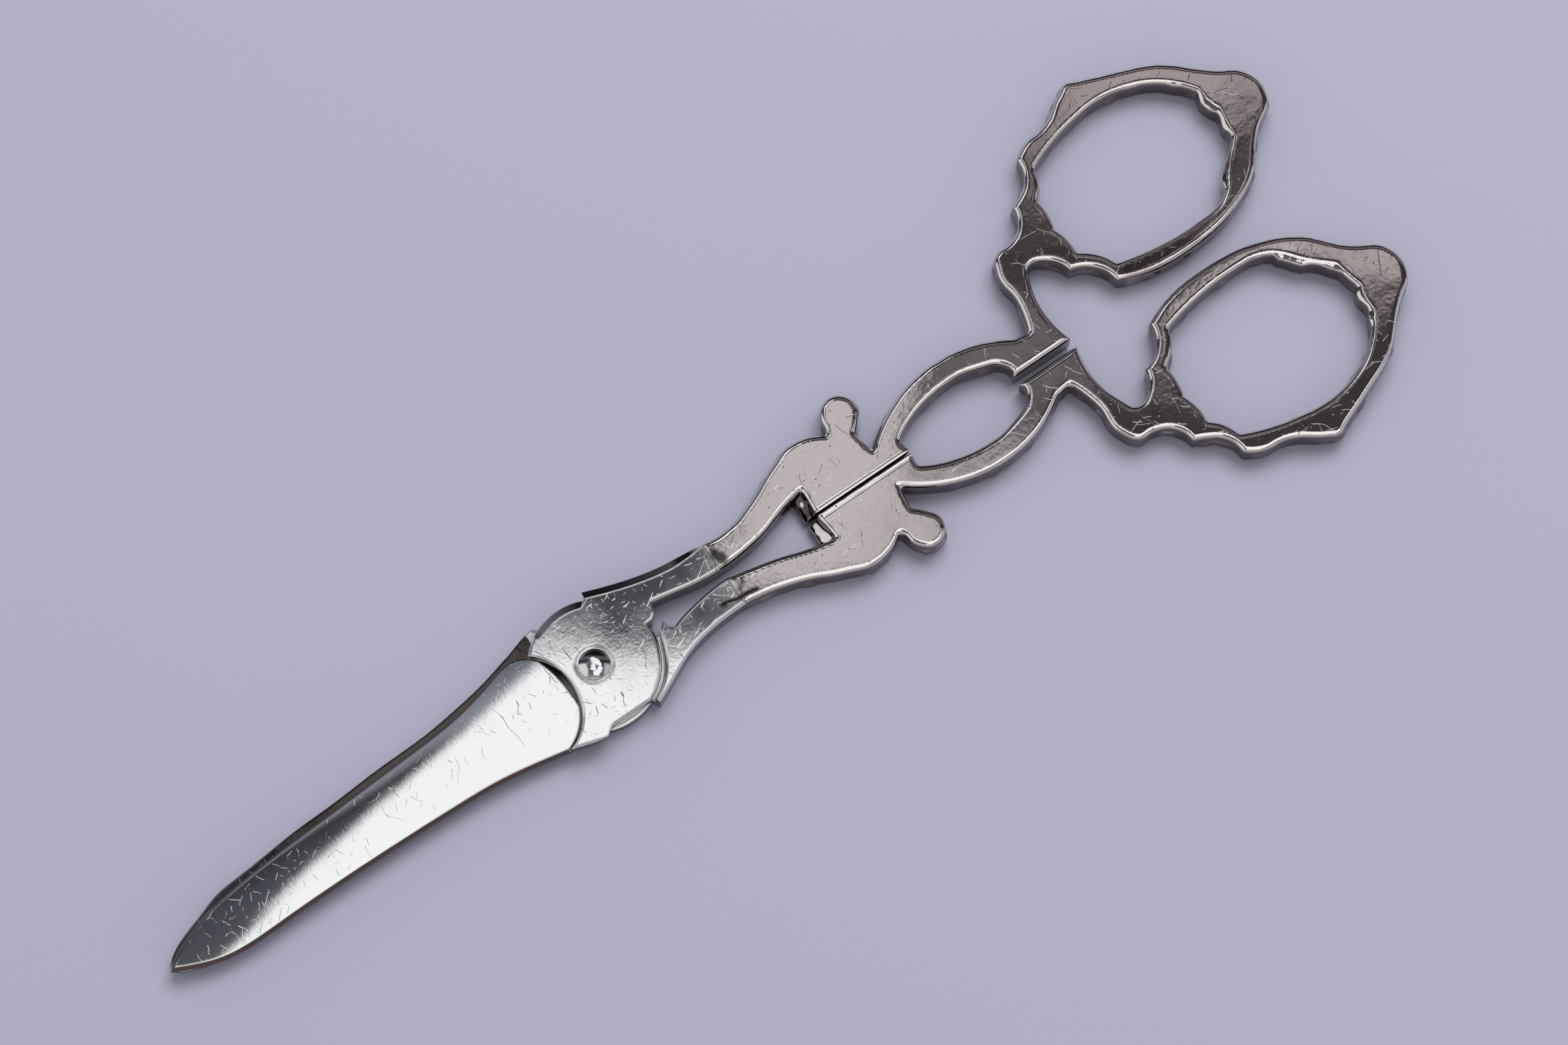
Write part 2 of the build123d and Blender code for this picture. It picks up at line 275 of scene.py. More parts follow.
# Sterling silver, cast in the handles and then tumbled and hand polished: mirror-like, a little
# pink from its copper, with soft waves, small pits and few scratches
castSilver = {
    "name": "castSterlingSilverPolished",
    "colour": "#F3EEEC",
    "roughness": 0.045,
    "roundness": 0.0,
    "wave": 11.0 * millimetre,
    "waveHeight": 0.026 * millimetre,
    "dent": 2.3 * millimetre,
    "dentHeight": 0.005 * millimetre,
    "grain": 0.5 * millimetre,
    "grainHeight": 0.0014 * millimetre,
    # cell, length and width in mm, depth, and the share of cells without one
    "scratches": [(1.5, 1.3, 0.045, 0.7, 0.6), (2.4, 2.2, 0.035, 0.6, 0.6), (3.6, 3.2, 0.045, 0.9, 0.5)],
    "scratchHeight": 0.005 * millimetre,
    "pits": (1.3, 0.13, 0.5),  # cell and radius in mm, and the share of cells without one
    "pitHeight": 0.025 * millimetre,
    "nose": 0.0,
    "wiped": None,
    "meeting": False,
}
# Sterling silver forged to the blade, joint and arm, and worn by use: cooler, and crossed
# by fine scratches from wiping
forgedSilver = {
    "name": "forgedSterlingSilverWorn",
    "colour": "#F2F3F4",
    "roughness": 0.04,
    "roundness": 0.45 * millimetre,
    "wave": 14.0 * millimetre,
    "waveHeight": 0.016 * millimetre,
    "dent": 3.0 * millimetre,
    "dentHeight": 0.002 * millimetre,
    "grain": 0.4 * millimetre,
    "grainHeight": 0.0008 * millimetre,
    "scratches": [(0.8, 0.6, 0.05, 0.22, 0.5), (1.3, 1.2, 0.045, 0.9, 0.55), (2.3, 2.1, 0.05, 1.4, 0.7),
                  (4.2, 4.0, 0.04, 1.2, 0.6), (8.0, 7.0, 0.045, 1.2, 0.6)],
    "scratchHeight": 0.005 * millimetre,
    "pits": (2.4, 0.08, 0.6),
    "pitHeight": 0.025 * millimetre,
    "nose": 0.3,  # how fast the blade's face falls towards its tip
    "noseStart": 44.0 * millimetre,
    # the blade between its tip and the joint is wiped smoother: where that begins and ends
    "wiped": (-44.0 * millimetre, -36.0 * millimetre, -14.0 * millimetre, -8.0 * millimetre),
    "meeting": True,  # tarnish and painted shade where the blades meet, and painted shade on the bevels
}
# The rivet's head: hammered over and rubbed, so its dome blurs and breaks what it mirrors
rivetSilver = dict(forgedSilver, name="hammeredRivetSilver", roughness=0.07, roundness=0.0,
                   wave=1.1 * millimetre, waveHeight=0.03 * millimetre, grain=0.35 * millimetre,
                   grainHeight=0.004 * millimetre, nose=0.0, meeting=False)
# what polishing and wear do alike to all three
polish = {
    "bevelSamples": 6,
    "detail": {"wave": 1.0, "dent": 2.0, "grain": 2.0},
    "blotch": 4.0 * millimetre,
    "blotchDetail": 4.0,
    "blotchRange": (0.3, 0.7),
    "roughnessSpread": (-0.01, 0.015),
    "scratchRoughness": 0.1,
    "layerStep": 0.37,  # sets each layer of scratches apart from the one before
    "sway": 0.5,  # how far a scratch bends, in cells, and how often
    "swayScale": 0.9,
    "scratchEnd": (0.3, 0.5),  # where a scratch fades, in its lengths from its middle
    "wipedDepth": 0.4,
    "pitUpward": 0.9,  # none shows on the walls
}
# tarnish, seams and stains, painted shade on the walls, far slopes, bevels and one bow's limb, and tarnish
# with painted shade where the blades meet
tarnishAndShade = {
    "wall": "#7A706E",  # painted shade: the colour of the sides, darker than the tops
    "wallShadeSpan": (0.35, 0.75),  # by how much a face points up
    "slope": "#3A3436",  # painted shade on the filed slopes that look to the far side
    "farSlopeShadeSpan": (0.12, 0.30),  # by how much a face points there
    "lyingSpan": (0.80, 0.90),  # and up, for the painted shade to show
    "pit": "#5A504C",
    # tarnish and painted shade where the blades meet and no cloth reaches: its levels, its end at the joint,
    # and where it fades towards the tips
    "lapTarnishAndShade": "#4E4845",
    "lapLevels": (1.85 * millimetre, 2.2 * millimetre),
    "lapEnd": -4.8 * millimetre,
    "lapFade": (-60.0 * millimetre, -40.0 * millimetre),
    "lapLeast": 0.35,
    # painted shade on the bevels round the blade
    "bevelShade": "#6A605C",
    "bevelSpan": (0.80, 0.92),
    "bevelEnd": -8.7 * millimetre,
    # the seams, stains and painted shade are pushed about by a fine noise
    "ragged": 0.9 * millimetre,
    "raggedSize": 1.3 * millimetre,
    "raggedDetail": 3.0,
    # solder seams, the stains beside them and painted shade on one bow, in mm: two ends, radius, soft edge,
    # colour
    "marks": [
        ((21.7, 5.6), (19.4, 1.2), 0.05, 0.12, "#8A8481"),
        ((21.0, -0.2), (20.1, -4.2), 0.05, 0.12, "#8A8481"),
        ((20.5, 3.2), (20.9, 2.0), 0.6, 0.45, "#62645F"),
        ((17.6, -3.0), (22.2, -3.6), 0.28, 0.30, "#3A3432"),
        ((20.6, -2.4), (21.6, -1.4), 0.30, 0.4, "#8C8983"),
        # painted shade: one bow's lower limb is a little duller
        ((105.2, 8.6), (95.0, 3.0), 1.1, 0.6, "#C4BAB6"),
        ((95.0, 3.0), (86.0, 3.6), 1.1, 0.6, "#C4BAB6"),
    ],
}


def scratchLayer(tree, position, cell, length, width, bare, seed):
    # one scratch in each cell, each at its own angle and a little bent
    cells = cell * millimetre
    shifted = addNode(tree, "ShaderNodeVectorMath", {"operation": "MULTIPLY_ADD"},
                      i0=position, i1=(1 / cells, 1 / cells, 0), i2=(seed, seed * 2, 0)).outputs[0]
    bending = addNode(tree, "ShaderNodeTexNoise", {"noise_dimensions": "2D"}, Vector=shifted,
                      Scale=polish["swayScale"]).outputs["Color"]
    shifted = addNode(tree, "ShaderNodeVectorMath", {"operation": "MULTIPLY_ADD"},
                      i0=bending, i1=(polish["sway"], polish["sway"], 0), i2=shifted).outputs[0]
    patch = addNode(tree, "ShaderNodeTexVoronoi", {"voronoi_dimensions": "2D"}, Vector=shifted, Scale=1.0)
    offset = addNode(tree, "ShaderNodeVectorMath", {"operation": "SUBTRACT"},
                     i0=shifted, i1=patch.outputs["Position"]).outputs[0]
    chance = addNode(tree, "ShaderNodeSeparateColor", Color=patch.outputs["Color"])
    angle = addNode(tree, "ShaderNodeMath", {"operation": "MULTIPLY"},
                    i0=chance.outputs[0], i1=math.pi).outputs[0]
    turned = addNode(tree, "ShaderNodeVectorRotate", {"rotation_type": "Z_AXIS"},
                     Vector=offset, Angle=angle).outputs[0]
    size = addNode(tree, "ShaderNodeVectorMath", {"operation": "ABSOLUTE"}, i0=turned).outputs[0]
    axes = addNode(tree, "ShaderNodeSeparateXYZ", Vector=size)
    line = addNode(tree, "ShaderNodeMapRange", Value=axes.outputs["Y"], From_Min=0.0,
                   From_Max=width / cell, To_Min=1.0, To_Max=0.0).outputs[0]
    fadeStart, fadeEnd = polish["scratchEnd"]
    reach = addNode(tree, "ShaderNodeMapRange", Value=axes.outputs["X"], From_Min=fadeStart * length / cell,
                    From_Max=fadeEnd * length / cell, To_Min=1.0, To_Max=0.0).outputs[0]
    drawn = addNode(tree, "ShaderNodeMath", {"operation": "MULTIPLY"}, i0=line, i1=reach).outputs[0]
    kept = addNode(tree, "ShaderNodeMapRange", Value=chance.outputs[1], From_Min=bare, From_Max=1.0,
                   To_Min=0.0, To_Max=1.0).outputs[0]
    kept = addNode(tree, "ShaderNodeMath", {"operation": "SQRT"}, i0=kept).outputs[0]
    return addNode(tree, "ShaderNodeMath", {"operation": "MULTIPLY"}, i0=drawn, i1=kept).outputs[0]


def scratchDepth(tree, position, settings):
    depth = 0.0
    for index, (cell, length, width, share, bare) in enumerate(settings["scratches"]):
        seed = polish["layerStep"] * (index + 1)
        layer = scratchLayer(tree, position, cell, length, width, bare, seed)
        layer = addNode(tree, "ShaderNodeMath", {"operation": "MULTIPLY"}, i0=layer, i1=share).outputs[0]
        depth = addNode(tree, "ShaderNodeMath", {"operation": "MAXIMUM"}, i0=depth, i1=layer).outputs[0]
    if settings["wiped"]:
        along = addNode(tree, "ShaderNodeSeparateXYZ", Vector=position).outputs["X"]
        tipEnd, tipStart, jointStart, jointEnd = settings["wiped"]
        tip = addNode(tree, "ShaderNodeMapRange", Value=along, From_Min=tipEnd, From_Max=tipStart,
                      To_Min=1.0, To_Max=polish["wipedDepth"]).outputs[0]
        joint = addNode(tree, "ShaderNodeMapRange", Value=along, From_Min=jointStart, From_Max=jointEnd,
                        To_Min=polish["wipedDepth"], To_Max=1.0).outputs[0]
        worn = addNode(tree, "ShaderNodeMath", {"operation": "MAXIMUM"}, i0=tip, i1=joint).outputs[0]
        depth = addNode(tree, "ShaderNodeMath", {"operation": "MULTIPLY"}, i0=depth, i1=worn).outputs[0]
    return depth


def pitHoles(tree, position, upward, settings):
    cell, radius, bare = settings["pits"]
    patch = addNode(tree, "ShaderNodeTexVoronoi", {"voronoi_dimensions": "3D"}, Vector=position,
                    Scale=1 / (cell * millimetre), Randomness=1.0)
    chance = addNode(tree, "ShaderNodeSeparateColor", Color=patch.outputs["Color"]).outputs[2]
    kept = addNode(tree, "ShaderNodeMath", {"operation": "GREATER_THAN"}, i0=chance, i1=bare).outputs[0]
    flat = addNode(tree, "ShaderNodeMath", {"operation": "GREATER_THAN"},
                   i0=upward, i1=polish["pitUpward"]).outputs[0]
    kept = addNode(tree, "ShaderNodeMath", {"operation": "MULTIPLY"}, i0=kept, i1=flat).outputs[0]
    hole = addNode(tree, "ShaderNodeMapRange", {"interpolation_type": "SMOOTHSTEP"},
                   Value=patch.outputs["Distance"], From_Min=0.0, From_Max=radius / cell,
                   To_Min=1.0, To_Max=0.0).outputs[0]
    return addNode(tree, "ShaderNodeMath", {"operation": "MULTIPLY"}, i0=hole, i1=kept).outputs[0]


def surfaceNormal(tree, position, face, scratches, pits, settings):
    normal = face
    if settings["roundness"]:
        normal = addNode(tree, "ShaderNodeBevel", {"samples": polish["bevelSamples"]},
                         Radius=settings["roundness"]).outputs[0]
    if settings["nose"]:
        along = addNode(tree, "ShaderNodeSeparateXYZ", Vector=position).outputs["X"]
        past = addNode(tree, "ShaderNodeMath", {"operation": "ADD"},
                       i0=along, i1=settings["noseStart"]).outputs[0]
        past = addNode(tree, "ShaderNodeMath", {"operation": "MINIMUM"}, i0=past, i1=0.0).outputs[0]
        fall = addNode(tree, "ShaderNodeMath", {"operation": "MULTIPLY"}, i0=past, i1=past).outputs[0]
        normal = addNode(tree, "ShaderNodeBump", {"invert": True}, Height=fall, Strength=1.0,
                         Distance=settings["nose"], Normal=normal).outputs[0]
    for name, detail in polish["detail"].items():
        bumps = addNode(tree, "ShaderNodeTexNoise", Vector=position, Scale=1 / settings[name],
                        Detail=detail).outputs[0]
        normal = addNode(tree, "ShaderNodeBump", Height=bumps, Strength=1.0,
                         Distance=settings[name + "Height"], Normal=normal).outputs[0]
    for height, distance in ((scratches, settings["scratchHeight"]), (pits, settings["pitHeight"])):
        normal = addNode(tree, "ShaderNodeBump", {"invert": True}, Height=height, Strength=1.0,
                         Distance=distance, Normal=normal).outputs[0]
    return normal


def surfaceRoughness(tree, position, scratches, settings):
    blotch = addNode(tree, "ShaderNodeTexNoise", Vector=position, Scale=1 / polish["blotch"],
                     Detail=polish["blotchDetail"]).outputs[0]
    low, high = polish["blotchRange"]
    smoother, rougher = polish["roughnessSpread"]
    rough = addNode(tree, "ShaderNodeMapRange", Value=blotch, From_Min=low, From_Max=high,
                    To_Min=settings["roughness"] + smoother,
                    To_Max=settings["roughness"] + rougher).outputs[0]
    return addNode(tree, "ShaderNodeMath", {"operation": "MULTIPLY_ADD"},
                   i0=scratches, i1=polish["scratchRoughness"], i2=rough).outputs[0]


def addMark(tree, spot, colour, start, end, radius, edge, stainAndShade):
    # colour inside a rounded stroke from start to end
    run = Vector((end[0] - start[0], end[1] - start[1], 0.0)) * millimetre
    origin = (start[0] * millimetre, start[1] * millimetre, 0.0)
    offset = addNode(tree, "ShaderNodeVectorMath", {"operation": "SUBTRACT"}, i0=spot, i1=origin).outputs[0]
    share = addNode(tree, "ShaderNodeVectorMath", {"operation": "DOT_PRODUCT"}, i0=offset,
                    i1=run / run.length_squared).outputs["Value"]
    share = addNode(tree, "ShaderNodeClamp", Value=share).outputs[0]
    nearest = addNode(tree, "ShaderNodeVectorMath", {"operation": "SCALE"},
                      i0=tuple(run), Scale=share).outputs[0]
    away = addNode(tree, "ShaderNodeVectorMath", {"operation": "DISTANCE"},
                   i0=offset, i1=nearest).outputs["Value"]
    mask = addNode(tree, "ShaderNodeMapRange", {"interpolation_type": "SMOOTHSTEP"}, Value=away,
                   From_Min=(radius - edge) * millimetre, From_Max=(radius + edge) * millimetre,
                   To_Min=1.0, To_Max=0.0).outputs[0]
    return addNode(tree, "ShaderNodeMix", {"data_type": "RGBA"},
                   i0=mask, i6=colour, i7=srgb(stainAndShade)).outputs[2]


def addMarks(tree, position, colour):
    push = addNode(tree, "ShaderNodeTexNoise", Vector=position, Scale=1 / tarnishAndShade["raggedSize"],
                   Detail=tarnishAndShade["raggedDetail"]).outputs["Color"]
    push = addNode(tree, "ShaderNodeVectorMath", {"operation": "SUBTRACT"},
                   i0=push, i1=(0.5, 0.5, 0.5)).outputs[0]
    pushed = addNode(tree, "ShaderNodeVectorMath", {"operation": "MULTIPLY_ADD"}, i0=push,
                     i1=(tarnishAndShade["ragged"], tarnishAndShade["ragged"], 0.0), i2=position).outputs[0]
    spot = addNode(tree, "ShaderNodeVectorMath", {"operation": "MULTIPLY"},
                   i0=pushed, i1=(1.0, 1.0, 0.0)).outputs[0]
    for start, end, radius, edge, stainAndShade in tarnishAndShade["marks"]:
        colour = addMark(tree, spot, colour, start, end, radius, edge, stainAndShade)
    return colour


def addLapTarnishAndBevelShade(tree, position, upward, colour):
    # tarnish and painted shade where the blades meet, and painted shade on the blade's bevels
    spot = addNode(tree, "ShaderNodeSeparateXYZ", Vector=position)
    bottom, top = tarnishAndShade["lapLevels"]
    level = addNode(tree, "ShaderNodeMath", {"operation": "COMPARE"}, i0=spot.outputs["Z"],
                    i1=(bottom + top) / 2, i2=(top - bottom) / 2).outputs[0]
    pastJoint = addNode(tree, "ShaderNodeMath", {"operation": "LESS_THAN"},
                        i0=spot.outputs["X"], i1=tarnishAndShade["lapEnd"]).outputs[0]
    faded = addNode(tree, "ShaderNodeMapRange", Value=spot.outputs["X"], From_Min=tarnishAndShade["lapFade"][0],
                    From_Max=tarnishAndShade["lapFade"][1], To_Min=tarnishAndShade["lapLeast"], To_Max=1.0).outputs[0]
    lapTarnishAndShade = addNode(tree, "ShaderNodeMath", {"operation": "MULTIPLY"}, i0=level, i1=pastJoint).outputs[0]
    lapTarnishAndShade = addNode(tree, "ShaderNodeMath", {"operation": "MULTIPLY"}, i0=lapTarnishAndShade, i1=faded).outputs[0]
    # painted shade on the blade's bevels
    steep, flat = tarnishAndShade["bevelSpan"]
    bevelShade = addNode(tree, "ShaderNodeMapRange", Value=upward, From_Min=steep, From_Max=flat,
                    To_Min=1.0, To_Max=0.0).outputs[0]
    onBlade = addNode(tree, "ShaderNodeMath", {"operation": "LESS_THAN"},
                      i0=spot.outputs["X"], i1=tarnishAndShade["bevelEnd"]).outputs[0]
    bevelShade = addNode(tree, "ShaderNodeMath", {"operation": "MULTIPLY"}, i0=bevelShade, i1=onBlade).outputs[0]
    colour = addNode(tree, "ShaderNodeMix", {"data_type": "RGBA"},
                     i0=bevelShade, i6=colour, i7=srgb(tarnishAndShade["bevelShade"])).outputs[2]
    return addNode(tree, "ShaderNodeMix", {"data_type": "RGBA"},
                   i0=lapTarnishAndShade, i6=colour, i7=srgb(tarnishAndShade["lapTarnishAndShade"])).outputs[2]


def surfaceColourAndShade(tree, position, face, upward, pits, settings):
    # painted shade: faces that point less up get the darker wall colour
    steep, flat = tarnishAndShade["wallShadeSpan"]
    wall = addNode(tree, "ShaderNodeMapRange", Value=upward, From_Min=steep, From_Max=flat,
                   To_Min=1.0, To_Max=0.0).outputs[0]
    colour = addNode(tree, "ShaderNodeMix", {"data_type": "RGBA"}, i0=wall,
                     i6=srgb(settings["colour"]), i7=srgb(tarnishAndShade["wall"])).outputs[2]
    # painted shade on upward faces that look to the far side
    farFacing = addNode(tree, "ShaderNodeVectorMath", {"operation": "DOT_PRODUCT"},
                        i0=face, i1=studio["farWay"]).outputs["Value"]
    slope = addNode(tree, "ShaderNodeMapRange", Value=farFacing, From_Min=tarnishAndShade["farSlopeShadeSpan"][0],
                    From_Max=tarnishAndShade["farSlopeShadeSpan"][1]).outputs[0]
    lying = addNode(tree, "ShaderNodeMapRange", Value=upward, From_Min=tarnishAndShade["lyingSpan"][0],
                    From_Max=tarnishAndShade["lyingSpan"][1]).outputs[0]
    slope = addNode(tree, "ShaderNodeMath", {"operation": "MULTIPLY"}, i0=slope, i1=lying).outputs[0]
    colour = addNode(tree, "ShaderNodeMix", {"data_type": "RGBA"},
                     i0=slope, i6=colour, i7=srgb(tarnishAndShade["slope"])).outputs[2]
    colour = addNode(tree, "ShaderNodeMix", {"data_type": "RGBA"},
                     i0=pits, i6=colour, i7=srgb(tarnishAndShade["pit"])).outputs[2]
    # seams and stains, and painted shade on one bow's lower limb
    colour = addMarks(tree, position, colour)
    # tarnish and painted shade between the blades, painted shade on the bevels
    if settings["meeting"]:
        colour = addLapTarnishAndBevelShade(tree, position, upward, colour)
    return colour


def makeSilver(settings):
    material = bpy.data.materials.new(settings["name"])
    material.use_nodes = True
    tree = material.node_tree
    shader = tree.nodes["Principled BSDF"]
    position = addNode(tree, "ShaderNodeTexCoord").outputs["Object"]
    face = addNode(tree, "ShaderNodeNewGeometry").outputs["Normal"]
    facing = addNode(tree, "ShaderNodeSeparateXYZ", Vector=face)
    upward = addNode(tree, "ShaderNodeMath", {"operation": "ABSOLUTE"}, i0=facing.outputs["Z"]).outputs[0]
    scratches = scratchDepth(tree, position, settings)
    pits = pitHoles(tree, position, upward, settings)
    normal = surfaceNormal(tree, position, face, scratches, pits, settings)
    rough = surfaceRoughness(tree, position, scratches, settings)
    colour = surfaceColourAndShade(tree, position, face, upward, pits, settings)
    tree.links.new(colour, shader.inputs["Base Color"])
    shader.inputs["Metallic"].default_value = 1.0
    tree.links.new(rough, shader.inputs["Roughness"])
    tree.links.new(normal, shader.inputs["Normal"])
    return material


def dress(node, material):
    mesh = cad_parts[node].data
    mesh.materials.clear()
    mesh.materials.append(material)


cast = makeSilver(castSilver)
forged = makeSilver(forgedSilver)
dress("finger_blade", forged)
print("finger blade dressed")


def readPlaces(mesh):
    places = np.empty(len(mesh.vertices) * 3, np.float64)
    mesh.vertices.foreach_get("co", places)
    return places.reshape(-1, 3)


def voxelCopy(node, name, voxel):
    # an even net over the solid of a node, to be worked on
    piece = bpy.data.objects.new(name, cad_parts[node].data.copy())
    bpy.context.scene.collection.objects.link(piece)
    skin = piece.modifiers.new("skin", "REMESH")
    skin.mode = "VOXEL"
    skin.voxel_size = voxel
    skin.use_smooth_shade = True
    bpy.context.view_layer.update()
    mesh = bpy.data.meshes.new_from_object(piece.evaluated_get(bpy.context.evaluated_depsgraph_get()))
    piece.modifiers.clear()
    piece.data = mesh
    return piece, mesh, readPlaces(mesh)


def finishMesh(mesh, places, material):
    mesh.vertices.foreach_set("co", places.ravel())
    mesh.update()
    mesh.materials.clear()
    mesh.materials.append(material)


# The rivet: its dome was closed with a last flat blow, a little towards the near left
hammer = {
    "voxel": 0.09 * millimetre,
    "blow": 4.08 * millimetre,  # height of the struck flat above the middle of the rivet
    "farRise": 0.035,  # how the flat rises to the far side and to the right
    "rightRise": 0.02,
    "dent": 0.012 * millimetre,
    "dentSize": 0.7 * millimetre,
    "domeStart": 3.75 * millimetre,
}


def closeRivet(node, body, material, settings):
    piece, mesh, places = voxelCopy(node, "hammeredRivet", settings["voxel"])
    far = places[:, :2] @ np.array(studio["farWay"][:2])
    right = places[:, :2] @ np.array(studio["rightWay"][:2])
    flat = settings["blow"] + settings["farRise"] * far + settings["rightRise"] * right
    dome = places[:, 2] > settings["domeStart"]
    dents = np.array([max(noise.noise(Vector(place) / settings["dentSize"]), 0.0) for place in places])
    places[dome, 2] = np.minimum(places[:, 2], flat)[dome] - settings["dent"] * dents[dome]
    finishMesh(mesh, places, material)
    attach(piece, body)
    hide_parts(node)
    print(node, "closed with", len(places), "points")


closeRivet("pivot_rivet", "finger_half", makeSilver(rivetSilver), hammer)

# The cast handles: the solid's own form with rolled edges, a filed slope along the edges that look
# away from the light, walls the mould's relief runs over, and the vine carved into the front
casting = {
    "voxel": 0.2 * millimetre,
    "roll": 3,  # smoothing passes, and how far each goes
    "rollShare": 0.5,
    "neck": 20.0 * millimetre,
    "neckHold": (0.2 * millimetre, 1.0 * millimetre),  # kept sharp at the solder seam
    "back": 3.6 * millimetre,
    # the back's crown, wider on the bars than on the plates
    "plateEnd": 50.0 * millimetre,
    "barStart": 56.0 * millimetre,
    "plateCrown": 0.6 * millimetre,
    "barCrown": 0.9 * millimetre,
    "crownFall": 0.016 * millimetre,
    "crownFoot": 0.72,  # share of the thickness that crown and slopes start above
    # the filed slope: how far a wall has to face away from the light, and how it wanders
    "slopeTurn": (0.15, 0.6),
    "slopeWander": (0.75, 0.5),
    "slopeWidth": 0.6 * millimetre,
    "slopeFall": 0.24 * millimetre,
    # the edges that look towards the light are rubbed round in a narrow band
    "nearTurn": (0.1, 0.5),
    "nearWidth": 0.44 * millimetre,
    "nearFall": 0.085 * millimetre,
    "nearCurve": 1.5,
    # the bulges of the relief on the walls: shares of the thickness they rise and end between,
    # the depth of wall they take along, and how much of the noise they show
    "bulge": 0.32 * millimetre,
    "bulgeSize": 2.0 * millimetre,
    "bulgeFoot": (0.1, 0.25),
    "bulgeTop": (0.55, 0.75),
    "bulgeSkin": (0.15 * millimetre, 0.4 * millimetre),
    "bulgeGain": (0.15, 1.8),
    "meeting": (0.98 * millimetre, 1.4 * millimetre),  # plain where the halves close on each other
    # the grapes seen from behind, inside the rings' far ends
    "lump": 0.55 * millimetre,
    "lumpSize": 3.0 * millimetre,
    "lumpStart": (96.0 * millimetre, 99.0 * millimetre),
    "lumpTurn": (0.2, 0.6),
    "lumpGain": (0.3, 2.2),
    "evenOut": 2,  # smoothing passes over bulges and lumps
    "evenShare": 0.6,
    # the plates' meeting edge is left sharp: its place from the middle line, its ends, its drop
    # and how far that reaches in, and the share of the thickness it starts above
    "sharpEdge": (0.5 * millimetre, 33.9 * millimetre, 48.6 * millimetre),
    "sharpDrop": (0.05 * millimetre, 0.15 * millimetre),
    "sharpFoot": 0.86,
    # the plates' ends slope out towards the tips: their wall, the depth it takes along, half width,
    # reach, and the foot and top of the slope
    "lipWall": (34.5 * millimetre, 1.2 * millimetre, 3.9 * millimetre),
    "lipSkin": 0.35 * millimetre,
    "lipTurn": (0.5, 0.9),
    "lipReach": 1.5 * millimetre,
    "lipSlope": (1.0 * millimetre, 3.35 * millimetre),
    "rimGroove": (0.75 * millimetre, 0.2 * millimetre, 0.16 * millimetre),  # from the wall, half width, depth
    "ground": 0.32 * millimetre,  # depth of the ground the vine stands on
    "groundStart": (1.0 * millimetre, 1.3 * millimetre),
    "frontSpan": (0.02, 0.12),  # shares of the thickness the carving ends between
    # grape bunches on the thumb half: place in mm and the way they hang, in degrees
    "bunches": [((44.2, 9.2), 90.0), ((111.6, 15.6), -10.0), ((76.0, 6.6), 100.0), ((85.6, 24.0), 130.0)],
    "grape": 0.85,  # radius in mm, and the steps between grapes in radii
    "grapeRows": (3, 2, 1),
    "rowStart": 0.7,
    "rowStep": 1.6,
    "grapeStep": 1.8,
    # vine leaves: place, reach and the way they point
    "leaves": [((39.2, 5.2), 3.6, 20.0), ((69.6, 8.6), 2.6, 60.0), ((98.4, 26.4), 1.9, 160.0)],
    "leafLobes": (5, 0.28),  # how many, and their share of the reach
    "leafTeeth": (25, 0.06),
    "leafEdge": 0.35,
    "leafTop": 0.85,
    "veinDepth": 0.4,
    "veinSpan": (0.08, 0.22),
}


def smoothstep(low, high, value):
    share = np.clip((value - low) / (high - low), 0.0, 1.0)
    return share * share * (3 - 2 * share)


def grapeHeight(x, y, settings):
    height = np.zeros_like(x)
    grape = settings["grape"]
    for (middleX, middleY), way in settings["bunches"]:
        turn = math.radians(way)
        for row, count in enumerate(settings["grapeRows"]):
            along = (row - settings["rowStart"]) * grape * settings["rowStep"]
            for step in range(count):
                across = (step - (count - 1) / 2) * grape * settings["grapeStep"]
                dx = x - middleX - along * math.cos(turn) + across * math.sin(turn)
                dy = y - middleY - along * math.sin(turn) - across * math.cos(turn)
                ball = np.sqrt(np.clip(1 - (dx * dx + dy * dy) / grape ** 2, 0.0, 1.0))
                height = np.maximum(height, ball)
    return height


def leafHeight(x, y, settings):
    height = np.zeros_like(x)
    lobes, lobeShare = settings["leafLobes"]
    teeth, toothShare = settings["leafTeeth"]
    for (middleX, middleY), reach, way in settings["leaves"]:
        dx = x - middleX
        dy = y - middleY
        angle = np.arctan2(dy, dx) - math.radians(way)
        away = np.hypot(dx, dy)
        outline = reach * (1 - lobeShare + lobeShare * np.cos(lobes * angle))
        outline = outline * (1 - toothShare + toothShare * np.cos(teeth * angle))
        leaf = smoothstep(0.0, settings["leafEdge"], outline - away) * settings["leafTop"]
        vein = np.abs(np.sin(lobes / 2 * angle)) / (lobes / 2) * away
        leaf -= settings["veinDepth"] * leaf * (1 - smoothstep(*settings["veinSpan"], vein))
        height = np.maximum(height, leaf)
    return height


def carveFront(places, x, y, fromWall, hold, settings):
    # x and y are in mm, on the thumb half's side
    grooveAt, grooveHalf, grooveDepth = settings["rimGroove"]
    carve = grooveDepth * np.exp(-((fromWall - grooveAt) / grooveHalf) ** 2)
    ground = smoothstep(*settings["groundStart"], fromWall)
    vine = np.maximum(grapeHeight(x, y, settings), leafHeight(x, y, settings))
    carve += settings["ground"] * ground * (1 - vine)
    front = 1 - smoothstep(*settings["frontSpan"], places[:, 2] / settings["back"])
    places[:, 2] += carve * hold * front


